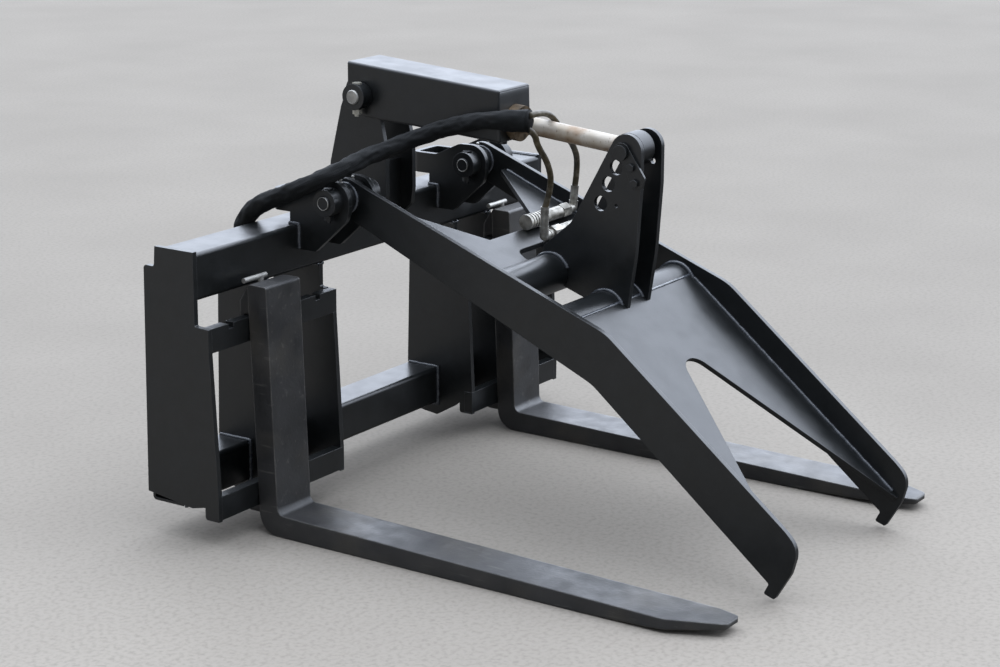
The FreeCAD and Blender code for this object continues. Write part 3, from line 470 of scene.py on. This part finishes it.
def bead(bm, points, size):
    """A rippled weld bead along a line of points in the row frame."""
    seed = Vector(points[0]) * 40
    wavering = []
    for p in resample(points, WELD_STEP):
        shift = noise.noise_vector(p * 90 + seed) * size * MM * WELD_WAVER
        wavering.append(p + shift)

    def radius(run, angle):
        ripple = WELD_RIPPLE * math.cos(2 * math.pi * run / WELD_PITCH)
        uneven = WELD_UNEVEN * noise.noise(Vector((run * 60, points[0].x * 9, points[0].z * 7)))
        return size * MM * (1 + ripple + uneven)

    tube(bm, wavering, radius, WELD_SIDES)


def circle_x(x, y, z, radius, start=0.0, end=360.0):
    """Points on a circle across X, in millimetres, from one angle to another."""
    turns = [math.radians(start + (end - start) * i / CIRCLE_STEPS) for i in range(CIRCLE_STEPS + 1)]
    return [place((x, y + radius * math.cos(t), z + radius * math.sin(t))) for t in turns]


def line(*points):
    """Points of the drawing frame in the row frame."""
    return [place(p) for p in points]


def low(node):
    """The low corner of a node's box in the drawing frame, in millimetres."""
    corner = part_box(node)[0]
    return (corner[0] / MM, corner[1] / MM - FRAME_SHIFT, corner[2] / MM)


def high(node):
    """The high corner of a node's box in the drawing frame, in millimetres."""
    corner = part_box(node)[1]
    return (corner[0] / MM, corner[1] / MM - FRAME_SHIFT, corner[2] / MM)


def axis_of(node):
    """Y and Z of a round piece's axis along X, and its radius."""
    a, b = low(node), high(node)
    return (a[1] + b[1]) / 2, (a[2] + b[2]) / 2, (b[2] - a[2]) / 2


REAR_WEB = (-326, 597, 0.40)
FRONT_WEB = (-918, 268, 0.8048)
WEB_HALF = 5.0
WEB_BACK_Y = -165
WEB_TOE_Y = -1150
TUBE_END_BEAD = 5.2
LUG_BEAD = 4.4
LUG_BEAD_FROM = 20
LUG_BEAD_TO = 160
WEB_BEAD = 4.4
WEB_TUBE_GAP = 4
SEAM_SHARE = 0.85
SEAM_BEAD = 3.4
BOSS_R = 31
BOSS_BEAD = 3.2


def web_top(y, web):
    """Height of a web's upper face at a place along Y; web is a point of its middle plane and its slope."""
    base_y, base_z, slope = web
    return base_z + slope * (y - base_y) + WEB_HALF * math.hypot(1, slope)


def grapple_welds(material):
    """Beads round both cross tubes and the arms' bosses, and along the edges of both webs."""
    bm = bmesh.new()
    arm_in, arm_out = low("right_arm")[0], high("right_arm")[0]
    lug_faces = (low("right_clevis_lug")[0] - WELD_OFF, high("right_clevis_lug")[0] + WELD_OFF)
    for tube_node in ("rear_cross_tube", "front_cross_tube"):
        y, z, radius = axis_of(tube_node)
        for side in (-1, 1):
            bead(bm, circle_x(side * (arm_in - 2), y, z, radius + 2), TUBE_END_BEAD)
            for lug in lug_faces:
                ring = circle_x(side * lug, y, z, radius + WELD_OFF, LUG_BEAD_FROM, LUG_BEAD_TO)
                bead(bm, ring, LUG_BEAD)
    front_y, _, front_r = axis_of("front_cross_tube")
    rear_y, _, rear_r = axis_of("rear_cross_tube")
    for side in (-1, 1):
        x = side * (arm_in - WELD_OFF)
        for web, ends in ((FRONT_WEB, (front_y - front_r - WEB_TUBE_GAP, WEB_TOE_Y)),
                          (REAR_WEB, (WEB_BACK_Y, rear_y + rear_r + WEB_TUBE_GAP))):
            bead(bm, line(*[(x, y, web_top(y, web) + 1) for y in ends]), WEB_BEAD)
    seam_y = front_y - SEAM_SHARE * front_r
    bead(bm, line(*[(x, seam_y, web_top(seam_y, FRONT_WEB) - 1) for x in (-arm_in, arm_in)]), SEAM_BEAD)
    boss_y, boss_z, _ = axis_of("left_hinge_pin")
    for side in (-1, 1):
        for x in (arm_in - WELD_OFF, arm_out + WELD_OFF):
            bead(bm, circle_x(side * x, boss_y, boss_z, BOSS_R + WELD_OFF), BOSS_BEAD)
    return finish_mesh("grapple_welds", bm, "grapple", material)


BRACKET_LUGS = ((208, 220), (295, 307))
BRACKET_REACH = 24
BRACKET_FOOT = 569
TOWER_LEG = (44, 56)
TOWER_REACH = 98
TOWER_FOOT = 592
TOWER_TOP = 711
TOWER_WEB_X = -43
TOWER_WEB_Y = -13
TOWER_BEAD = 3.0
PLATE_BEAD = 4.0
RIB_BEAD = 3.6
END_BEAD = 2.2
RIB_BACK = 130
TOP_TUBE_BACK = 99
TOP_TUBE_UNDER = 520


def root_welds(material):
    """Beads of the hinge brackets, the tower, the ribs and the end plates on both tubes."""
    bm = bmesh.new()
    top = high("top_tube")[2] + 1
    upright = [(faces, BRACKET_REACH, BRACKET_FOOT) for faces in BRACKET_LUGS]
    upright.append((TOWER_LEG, TOWER_REACH, TOWER_FOOT))
    for side in (-1, 1):
        for faces, reach, foot in upright:
            for x in (side * (faces[0] - WELD_OFF), side * (faces[1] + WELD_OFF)):
                bead(bm, line((x, reach, top), (x, -1, top), (x, -1, foot)), PLATE_BEAD)
    bead(bm, line((TOWER_WEB_X, TOWER_WEB_Y, TOWER_FOOT), (TOWER_WEB_X, TOWER_WEB_Y, TOWER_TOP)), TOWER_BEAD)
    front, under, over = low("lower_tube")[1] - 1, low("lower_tube")[2] - 1, high("lower_tube")[2] + 1
    for node in ("left_middle_plate", "left_inner_plate", "right_inner_plate", "right_middle_plate"):
        for x in (low(node)[0] - WELD_OFF, high(node)[0] + WELD_OFF):
            around = line((x, RIB_BACK, over), (x, front, over), (x, front, under), (x, RIB_BACK, under))
            bead(bm, around, PLATE_BEAD)
            bead(bm, line((x, 1, TOP_TUBE_UNDER), (x, TOP_TUBE_BACK, TOP_TUBE_UNDER)), RIB_BEAD)
    for x in (high("left_end_plate")[0] + WELD_OFF, low("right_end_plate")[0] - WELD_OFF):
        bead(bm, line((x, 4, top), (x, TOP_TUBE_BACK, top)), END_BEAD)
        bead(bm, line((x, RIB_BACK, over), (x, front, over), (x, front, under)), PLATE_BEAD)
    return finish_mesh("carriage_welds", bm, "root", material)


PIN_RIM_R = 13.6
PIN_RIM = 0.8
PIN_RIM_SIDES = 6
PIN_RIM_INSET = 0.2


def pin_rims(material):
    """Worn bright edges on the outer ends of the hinge pins and of the cylinder's base pin."""
    bm = bmesh.new()
    for node in ("left_hinge_pin", "right_hinge_pin", "base_pin"):
        y, z, _ = axis_of(node)
        for x in (low(node)[0] + PIN_RIM_INSET, high(node)[0] - PIN_RIM_INSET):
            ring = circle_x(x, y, z, PIN_RIM_R)[:-1]
            tube(bm, ring, lambda run, angle: PIN_RIM * MM, PIN_RIM_SIDES, closed=True)
    return finish_mesh("pin_rims", bm, "root", material)


# Hoses and sleeve

CORD_STEP = 0.004
HOSE_SIDES = 20
SLEEVE_SIDES = 40
SLEEVE_TAKE_UP = 0.96
SLACK = 0.07
SLACK_AT = 0.24
SLACK_REACH = 0.16
END_FLARE = 0.26
END_REACH = 0.10
LUMP = 0.15
FOLD = 0.12


def path_of(route):
    """Points read along the route's NURBS spline, which has no bevel."""
    data = bpy.data.curves.new("guide", "CURVE")
    data.dimensions = "3D"
    spline = data.splines.new("NURBS")
    spline.points.add(len(route) - 1)
    for target, point in zip(spline.points, route):
        target.co = (*place(point), 1)
    spline.order_u = 3
    spline.use_endpoint_u = True
    data.resolution_u = 12
    guide = bpy.data.objects.new("guide", data)
    bpy.context.scene.collection.objects.link(guide)
    bpy.context.view_layer.update()
    mesh = bpy.data.meshes.new_from_object(guide)
    points = [v.co.copy() for v in mesh.vertices]
    bpy.data.objects.remove(guide)
    return points


def hose(name, node, route, material):
    """A hose that leaves the sleeve with the carriage and ends in its elbow on the grapple."""
    points = resample(path_of(route), CORD_STEP)
    bm = bmesh.new()
    tube(bm, points, lambda run, angle: HOSE_R * MM, HOSE_SIDES)
    obj = finish_mesh(name, bm, None, material)
    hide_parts(node)
    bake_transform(obj)
    return obj


def sleeve(material):
    """The woven sleeve over both hoses, with lumps and soft folds."""
    points = resample(path_of(SLEEVE_ROUTE), CORD_STEP)
    bm = bmesh.new()
    uv = bm.loops.layers.uv.new("weave")

    def radius(run, angle):
        """Slack fabric: widest where it comes over the tube and at its open end."""
        around = Vector((0, math.cos(angle), math.sin(angle)))
        slack = SLACK * max(0.0, 1 - abs(run - SLACK_AT) / SLACK_REACH)
        slack += END_FLARE * max(0.0, 1 - (SLEEVE_LENGTH - run) / END_REACH)
        lump = LUMP * noise.noise(around * 1.3 + Vector((run * 26, 0, 0)))
        fold = FOLD * noise.noise(around * 2.6 + Vector((run * 62, 0, 7)))
        return SLEEVE_R * MM * (SLEEVE_TAKE_UP + slack + lump + fold)

    tube(bm, points, radius, SLEEVE_SIDES, uv=uv)
    obj = finish_mesh("woven_sleeve", bm, "root", material)
    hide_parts("hose_sleeve")
    return obj


# Floor and light

FLOOR_HALF = 40.0
FLOOR_DROP = 0.0005
SKY_TOWARD = Vector((0.50, 0.10, 0.86)).normalized()
SKY_FROM = 0.10
SKY_TO = 0.90
SKY_DIM = 0.50
SKY_BRIGHT = 3.45
SKY_COLOUR = (0.90, 0.98, 1.13, 1)


def floor(material):
    """A wide floor just under the part."""
    bm = bmesh.new()
    bmesh.ops.create_grid(bm, x_segments=1, y_segments=1, size=FLOOR_HALF)
    mesh = bpy.data.meshes.new("floor")
    bm.to_mesh(mesh)
    bm.free()
    obj = bpy.data.objects.new("floor", mesh)
    obj.location.z = -FLOOR_DROP
    bpy.context.scene.collection.objects.link(obj)
    mesh.materials.append(material)


def light():
    """An overcast sky, bright overhead and behind the part on the right, dim on the camera's side."""
    scene = bpy.context.scene
    scene.view_settings.view_transform = "Standard"
    world = bpy.data.worlds.new("sky")
    scene.world = world
    world.use_nodes = True
    tree = world.node_tree
    outward = tree.nodes.new("ShaderNodeTexCoord").outputs["Generated"]
    toward = dot_product(tree, outward, SKY_TOWARD)
    strength = map_range(tree, toward, SKY_FROM, SKY_TO, SKY_DIM, SKY_BRIGHT, smooth=True)
    background = tree.nodes["Background"]
    background.inputs["Color"].default_value = SKY_COLOUR
    tree.links.new(strength, background.inputs["Strength"])


# Scene

camera()
light()
floor(floor_concrete())

slot_material = {
    "frame_paint": black_paint(),
    "fork_paint": fork_paint(),
    "plated_steel": plated_steel("plated_steel", (0.50, 0.49, 0.45), (0.33, 0.32, 0.30), rough=0.32),
    "coupler_steel": plated_steel("coupler_steel", (0.50, 0.48, 0.43), (0.20, 0.19, 0.165), rough=0.30),
    "rod_chrome": rod_chrome(),
    "hose_rubber": hose_rubber(),
    "sleeve_fabric": sleeve_fabric(),
}
for part in record["subparts"]:
    obj = nodes[part["node"]]
    obj.data.materials.clear()
    obj.data.materials.append(slot_material[part["material_slot"]])
for node in ("rod_pin", "flag_bolts", "left_hinge_pin", "right_hinge_pin"):
    nodes[node].data.materials[0] = slot_material["frame_paint"]
soiled = plated_steel("soiled_steel", (0.22, 0.16, 0.10), (0.05, 0.035, 0.02), rough=0.45)
nodes["cylinder_gland"].data.materials[0] = soiled
hardware = tower_hardware()
for node in ("pin_bolts", "pin_nuts"):
    nodes[node].data.materials[0] = hardware

weld = weld_metal()
grapple_welds(weld)
root_welds(weld)
pin_rims(slot_material["plated_steel"])
hose("pressure_hose", "hose_a", HOSE_A_ROUTE, slot_material["hose_rubber"])
hose("return_hose", "hose_b", HOSE_B_ROUTE, slot_material["hose_rubber"])
sleeve(slot_material["sleeve_fabric"])
